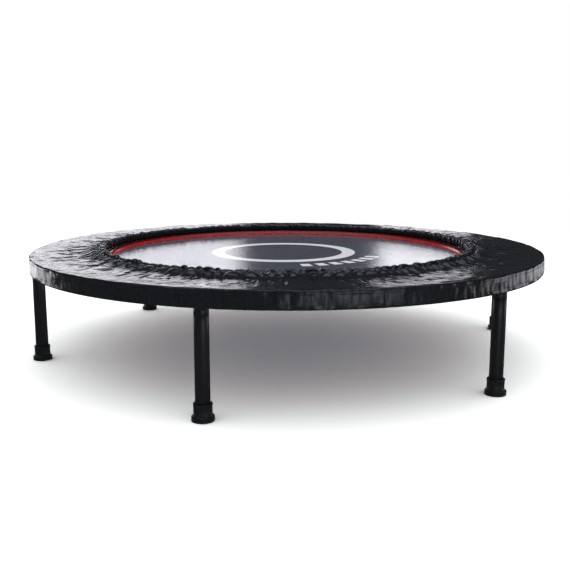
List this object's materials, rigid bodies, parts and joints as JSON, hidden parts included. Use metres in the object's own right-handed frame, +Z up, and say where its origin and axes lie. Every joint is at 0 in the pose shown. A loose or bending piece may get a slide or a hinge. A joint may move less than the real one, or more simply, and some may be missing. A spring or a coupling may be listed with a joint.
{
  "type": "mini trampoline",
  "caption": "Low round exercise trampoline: sprung woven mat with a bound edge, gathered padded frame cover, screw-in tube legs with rubber feet.",
  "frame": {"origin": "on the floor, under the centre of the mat", "axes": "+Z up; +X from the centre towards the first leg, the others every 60 degrees"},
  "size_m": [1.022, 1.016, 0.214],
  "materials": {
    "powder_coat": "semi-gloss black powder coat",
    "cover_vinyl": "shiny coated fabric, gathered",
    "elastic": "matte",
    "mat_weave": "semi-gloss woven polyethylene",
    "red_binding": "glossy coated webbing",
    "zinc_steel": "bright zinc plate",
    "foot_rubber": "satin black rubber"
  },
  "bodies": {
    "frame": {"frame_ring": "powder_coat", "leg_1_socket": "powder_coat", "leg_2_socket": "powder_coat", "leg_3_socket": "powder_coat", "leg_4_socket": "powder_coat", "leg_5_socket": "powder_coat", "leg_6_socket": "powder_coat", "frame_cover": "cover_vinyl", "cover_elastic": "elastic"},
    "mat": {"jumping_mat": "mat_weave", "mat_binding": "red_binding", "mat_hoop": "zinc_steel"},
    "spring_01_link": {"spring_01": "zinc_steel"},
    "spring_02_link": {"spring_02": "zinc_steel"},
    "spring_03_link": {"spring_03": "zinc_steel"},
    "spring_04_link": {"spring_04": "zinc_steel"},
    "spring_05_link": {"spring_05": "zinc_steel"},
    "spring_06_link": {"spring_06": "zinc_steel"},
    "spring_07_link": {"spring_07": "zinc_steel"},
    "spring_08_link": {"spring_08": "zinc_steel"},
    "spring_09_link": {"spring_09": "zinc_steel"},
    "spring_10_link": {"spring_10": "zinc_steel"},
    "spring_11_link": {"spring_11": "zinc_steel"},
    "spring_12_link": {"spring_12": "zinc_steel"},
    "spring_13_link": {"spring_13": "zinc_steel"},
    "spring_14_link": {"spring_14": "zinc_steel"},
    "spring_15_link": {"spring_15": "zinc_steel"},
    "spring_16_link": {"spring_16": "zinc_steel"},
    "spring_17_link": {"spring_17": "zinc_steel"},
    "spring_18_link": {"spring_18": "zinc_steel"},
    "spring_19_link": {"spring_19": "zinc_steel"},
    "spring_20_link": {"spring_20": "zinc_steel"},
    "spring_21_link": {"spring_21": "zinc_steel"},
    "spring_22_link": {"spring_22": "zinc_steel"},
    "spring_23_link": {"spring_23": "zinc_steel"},
    "spring_24_link": {"spring_24": "zinc_steel"},
    "spring_25_link": {"spring_25": "zinc_steel"},
    "spring_26_link": {"spring_26": "zinc_steel"},
    "spring_27_link": {"spring_27": "zinc_steel"},
    "spring_28_link": {"spring_28": "zinc_steel"},
    "spring_29_link": {"spring_29": "zinc_steel"},
    "spring_30_link": {"spring_30": "zinc_steel"},
    "leg_1_thread": {"leg_1_stud": "zinc_steel"},
    "leg_1": {"leg_1_tube": "powder_coat", "leg_1_foot": "foot_rubber"},
    "leg_2_thread": {"leg_2_stud": "zinc_steel"},
    "leg_2": {"leg_2_tube": "powder_coat", "leg_2_foot": "foot_rubber"},
    "leg_3_thread": {"leg_3_stud": "zinc_steel"},
    "leg_3": {"leg_3_tube": "powder_coat", "leg_3_foot": "foot_rubber"},
    "leg_4_thread": {"leg_4_stud": "zinc_steel"},
    "leg_4": {"leg_4_tube": "powder_coat", "leg_4_foot": "foot_rubber"},
    "leg_5_thread": {"leg_5_stud": "zinc_steel"},
    "leg_5": {"leg_5_tube": "powder_coat", "leg_5_foot": "foot_rubber"},
    "leg_6_thread": {"leg_6_stud": "zinc_steel"},
    "leg_6": {"leg_6_tube": "powder_coat", "leg_6_foot": "foot_rubber"}
  },
  "joints": [
    {"name": "mat_bounce", "type": "slide", "parent": "frame", "child": "mat", "axis": [0, 0, 1], "range_m": [-0.045, 0], "stiffness_N_per_m": 7500, "deforming": ["spring_01", "spring_02", "spring_03", "spring_04", "spring_05", "spring_06", "spring_07", "spring_08", "spring_09", "spring_10", "spring_11", "spring_12", "spring_13", "spring_14", "spring_15", "spring_16", "spring_17", "spring_18", "spring_19", "spring_20", "spring_21", "spring_22", "spring_23", "spring_24", "spring_25", "spring_26", "spring_27", "spring_28", "spring_29", "spring_30"]},
    {"name": "spring_01_swing", "type": "hinge", "parent": "frame", "child": "spring_01_link", "pos_m": [0.47836, 0.05028, 0.1905], "axis": [-0.1045, 0.9945, 0], "range_deg": [-22, 1]},
    {"name": "spring_02_swing", "type": "hinge", "parent": "frame", "child": "spring_02_link", "pos_m": [0.45746, 0.14864, 0.1905], "axis": [-0.309, 0.9511, 0], "range_deg": [-22, 1]},
    {"name": "spring_03_swing", "type": "hinge", "parent": "frame", "child": "spring_03_link", "pos_m": [0.41656, 0.2405, 0.1905], "axis": [-0.5, 0.866, 0], "range_deg": [-22, 1]},
    {"name": "spring_04_swing", "type": "hinge", "parent": "frame", "child": "spring_04_link", "pos_m": [0.35745, 0.32185, 0.1905], "axis": [-0.6691, 0.7431, 0], "range_deg": [-22, 1]},
    {"name": "spring_05_swing", "type": "hinge", "parent": "frame", "child": "spring_05_link", "pos_m": [0.28273, 0.38914, 0.1905], "axis": [-0.809, 0.5878, 0], "range_deg": [-22, 1]},
    {"name": "spring_06_swing", "type": "hinge", "parent": "frame", "child": "spring_06_link", "pos_m": [0.19564, 0.43942, 0.1905], "axis": [-0.9135, 0.4067, 0], "range_deg": [-22, 1]},
    {"name": "spring_07_swing", "type": "hinge", "parent": "frame", "child": "spring_07_link", "pos_m": [0.10001, 0.47049, 0.1905], "axis": [-0.9781, 0.2079, 0], "range_deg": [-22, 1]},
    {"name": "spring_08_swing", "type": "hinge", "parent": "frame", "child": "spring_08_link", "pos_m": [0, 0.481, 0.1905], "axis": [-1, 0, 0], "range_deg": [-22, 1]},
    {"name": "spring_09_swing", "type": "hinge", "parent": "frame", "child": "spring_09_link", "pos_m": [-0.10001, 0.47049, 0.1905], "axis": [-0.9781, -0.2079, 0], "range_deg": [-22, 1]},
    {"name": "spring_10_swing", "type": "hinge", "parent": "frame", "child": "spring_10_link", "pos_m": [-0.19564, 0.43942, 0.1905], "axis": [-0.9135, -0.4067, 0], "range_deg": [-22, 1]},
    {"name": "spring_11_swing", "type": "hinge", "parent": "frame", "child": "spring_11_link", "pos_m": [-0.28273, 0.38914, 0.1905], "axis": [-0.809, -0.5878, 0], "range_deg": [-22, 1]},
    {"name": "spring_12_swing", "type": "hinge", "parent": "frame", "child": "spring_12_link", "pos_m": [-0.35745, 0.32185, 0.1905], "axis": [-0.6691, -0.7431, 0], "range_deg": [-22, 1]},
    {"name": "spring_13_swing", "type": "hinge", "parent": "frame", "child": "spring_13_link", "pos_m": [-0.41656, 0.2405, 0.1905], "axis": [-0.5, -0.866, 0], "range_deg": [-22, 1]},
    {"name": "spring_14_swing", "type": "hinge", "parent": "frame", "child": "spring_14_link", "pos_m": [-0.45746, 0.14864, 0.1905], "axis": [-0.309, -0.9511, 0], "range_deg": [-22, 1]},
    {"name": "spring_15_swing", "type": "hinge", "parent": "frame", "child": "spring_15_link", "pos_m": [-0.47836, 0.05028, 0.1905], "axis": [-0.1045, -0.9945, 0], "range_deg": [-22, 1]},
    {"name": "spring_16_swing", "type": "hinge", "parent": "frame", "child": "spring_16_link", "pos_m": [-0.47836, -0.05028, 0.1905], "axis": [0.1045, -0.9945, 0], "range_deg": [-22, 1]},
    {"name": "spring_17_swing", "type": "hinge", "parent": "frame", "child": "spring_17_link", "pos_m": [-0.45746, -0.14864, 0.1905], "axis": [0.309, -0.9511, 0], "range_deg": [-22, 1]},
    {"name": "spring_18_swing", "type": "hinge", "parent": "frame", "child": "spring_18_link", "pos_m": [-0.41656, -0.2405, 0.1905], "axis": [0.5, -0.866, 0], "range_deg": [-22, 1]},
    {"name": "spring_19_swing", "type": "hinge", "parent": "frame", "child": "spring_19_link", "pos_m": [-0.35745, -0.32185, 0.1905], "axis": [0.6691, -0.7431, 0], "range_deg": [-22, 1]},
    {"name": "spring_20_swing", "type": "hinge", "parent": "frame", "child": "spring_20_link", "pos_m": [-0.28273, -0.38914, 0.1905], "axis": [0.809, -0.5878, 0], "range_deg": [-22, 1]},
    {"name": "spring_21_swing", "type": "hinge", "parent": "frame", "child": "spring_21_link", "pos_m": [-0.19564, -0.43942, 0.1905], "axis": [0.9135, -0.4067, 0], "range_deg": [-22, 1]},
    {"name": "spring_22_swing", "type": "hinge", "parent": "frame", "child": "spring_22_link", "pos_m": [-0.10001, -0.47049, 0.1905], "axis": [0.9781, -0.2079, 0], "range_deg": [-22, 1]},
    {"name": "spring_23_swing", "type": "hinge", "parent": "frame", "child": "spring_23_link", "pos_m": [0, -0.481, 0.1905], "axis": [1, 0, 0], "range_deg": [-22, 1]},
    {"name": "spring_24_swing", "type": "hinge", "parent": "frame", "child": "spring_24_link", "pos_m": [0.10001, -0.47049, 0.1905], "axis": [0.9781, 0.2079, 0], "range_deg": [-22, 1]},
    {"name": "spring_25_swing", "type": "hinge", "parent": "frame", "child": "spring_25_link", "pos_m": [0.19564, -0.43942, 0.1905], "axis": [0.9135, 0.4067, 0], "range_deg": [-22, 1]},
    {"name": "spring_26_swing", "type": "hinge", "parent": "frame", "child": "spring_26_link", "pos_m": [0.28273, -0.38914, 0.1905], "axis": [0.809, 0.5878, 0], "range_deg": [-22, 1]},
    {"name": "spring_27_swing", "type": "hinge", "parent": "frame", "child": "spring_27_link", "pos_m": [0.35745, -0.32185, 0.1905], "axis": [0.6691, 0.7431, 0], "range_deg": [-22, 1]},
    {"name": "spring_28_swing", "type": "hinge", "parent": "frame", "child": "spring_28_link", "pos_m": [0.41656, -0.2405, 0.1905], "axis": [0.5, 0.866, 0], "range_deg": [-22, 1]},
    {"name": "spring_29_swing", "type": "hinge", "parent": "frame", "child": "spring_29_link", "pos_m": [0.45746, -0.14864, 0.1905], "axis": [0.309, 0.9511, 0], "range_deg": [-22, 1]},
    {"name": "spring_30_swing", "type": "hinge", "parent": "frame", "child": "spring_30_link", "pos_m": [0.47836, -0.05028, 0.1905], "axis": [0.1045, 0.9945, 0], "range_deg": [-22, 1]},
    {"name": "leg_1_lower", "type": "slide", "parent": "frame", "child": "leg_1_thread", "axis": [0, 0, -1], "range_m": [0, 0.0141]},
    {"name": "leg_1_unscrew", "type": "hinge", "parent": "leg_1_thread", "child": "leg_1", "pos_m": [0.493, 0, 0.164], "axis": [0, 0, -1], "range_deg": [0, 2880]},
    {"name": "leg_2_lower", "type": "slide", "parent": "frame", "child": "leg_2_thread", "axis": [0, 0, -1], "range_m": [0, 0.0141]},
    {"name": "leg_2_unscrew", "type": "hinge", "parent": "leg_2_thread", "child": "leg_2", "pos_m": [0.2465, 0.42695, 0.164], "axis": [0, 0, -1], "range_deg": [0, 2880]},
    {"name": "leg_3_lower", "type": "slide", "parent": "frame", "child": "leg_3_thread", "axis": [0, 0, -1], "range_m": [0, 0.0141]},
    {"name": "leg_3_unscrew", "type": "hinge", "parent": "leg_3_thread", "child": "leg_3", "pos_m": [-0.2465, 0.42695, 0.164], "axis": [0, 0, -1], "range_deg": [0, 2880]},
    {"name": "leg_4_lower", "type": "slide", "parent": "frame", "child": "leg_4_thread", "axis": [0, 0, -1], "range_m": [0, 0.0141]},
    {"name": "leg_4_unscrew", "type": "hinge", "parent": "leg_4_thread", "child": "leg_4", "pos_m": [-0.493, 0, 0.164], "axis": [0, 0, -1], "range_deg": [0, 2880]},
    {"name": "leg_5_lower", "type": "slide", "parent": "frame", "child": "leg_5_thread", "axis": [0, 0, -1], "range_m": [0, 0.0141]},
    {"name": "leg_5_unscrew", "type": "hinge", "parent": "leg_5_thread", "child": "leg_5", "pos_m": [-0.2465, -0.42695, 0.164], "axis": [0, 0, -1], "range_deg": [0, 2880]},
    {"name": "leg_6_lower", "type": "slide", "parent": "frame", "child": "leg_6_thread", "axis": [0, 0, -1], "range_m": [0, 0.0141]},
    {"name": "leg_6_unscrew", "type": "hinge", "parent": "leg_6_thread", "child": "leg_6", "pos_m": [0.2465, -0.42695, 0.164], "axis": [0, 0, -1], "range_deg": [0, 2880]}
  ],
  "couplings": [
    {"joint": "spring_01_swing", "follows": "mat_bounce", "rad_per_m": 8},
    {"joint": "spring_02_swing", "follows": "mat_bounce", "rad_per_m": 8},
    {"joint": "spring_03_swing", "follows": "mat_bounce", "rad_per_m": 8},
    {"joint": "spring_04_swing", "follows": "mat_bounce", "rad_per_m": 8},
    {"joint": "spring_05_swing", "follows": "mat_bounce", "rad_per_m": 8},
    {"joint": "spring_06_swing", "follows": "mat_bounce", "rad_per_m": 8},
    {"joint": "spring_07_swing", "follows": "mat_bounce", "rad_per_m": 8},
    {"joint": "spring_08_swing", "follows": "mat_bounce", "rad_per_m": 8},
    {"joint": "spring_09_swing", "follows": "mat_bounce", "rad_per_m": 8},
    {"joint": "spring_10_swing", "follows": "mat_bounce", "rad_per_m": 8},
    {"joint": "spring_11_swing", "follows": "mat_bounce", "rad_per_m": 8},
    {"joint": "spring_12_swing", "follows": "mat_bounce", "rad_per_m": 8},
    {"joint": "spring_13_swing", "follows": "mat_bounce", "rad_per_m": 8},
    {"joint": "spring_14_swing", "follows": "mat_bounce", "rad_per_m": 8},
    {"joint": "spring_15_swing", "follows": "mat_bounce", "rad_per_m": 8},
    {"joint": "spring_16_swing", "follows": "mat_bounce", "rad_per_m": 8},
    {"joint": "spring_17_swing", "follows": "mat_bounce", "rad_per_m": 8},
    {"joint": "spring_18_swing", "follows": "mat_bounce", "rad_per_m": 8},
    {"joint": "spring_19_swing", "follows": "mat_bounce", "rad_per_m": 8},
    {"joint": "spring_20_swing", "follows": "mat_bounce", "rad_per_m": 8},
    {"joint": "spring_21_swing", "follows": "mat_bounce", "rad_per_m": 8},
    {"joint": "spring_22_swing", "follows": "mat_bounce", "rad_per_m": 8},
    {"joint": "spring_23_swing", "follows": "mat_bounce", "rad_per_m": 8},
    {"joint": "spring_24_swing", "follows": "mat_bounce", "rad_per_m": 8},
    {"joint": "spring_25_swing", "follows": "mat_bounce", "rad_per_m": 8},
    {"joint": "spring_26_swing", "follows": "mat_bounce", "rad_per_m": 8},
    {"joint": "spring_27_swing", "follows": "mat_bounce", "rad_per_m": 8},
    {"joint": "spring_28_swing", "follows": "mat_bounce", "rad_per_m": 8},
    {"joint": "spring_29_swing", "follows": "mat_bounce", "rad_per_m": 8},
    {"joint": "spring_30_swing", "follows": "mat_bounce", "rad_per_m": 8},
    {"joint": "leg_1_lower", "follows": "leg_1_unscrew", "m_per_rad": 0.00027852},
    {"joint": "leg_2_lower", "follows": "leg_2_unscrew", "m_per_rad": 0.00027852},
    {"joint": "leg_3_lower", "follows": "leg_3_unscrew", "m_per_rad": 0.00027852},
    {"joint": "leg_4_lower", "follows": "leg_4_unscrew", "m_per_rad": 0.00027852},
    {"joint": "leg_5_lower", "follows": "leg_5_unscrew", "m_per_rad": 0.00027852},
    {"joint": "leg_6_lower", "follows": "leg_6_unscrew", "m_per_rad": 0.00027852}
  ]
}
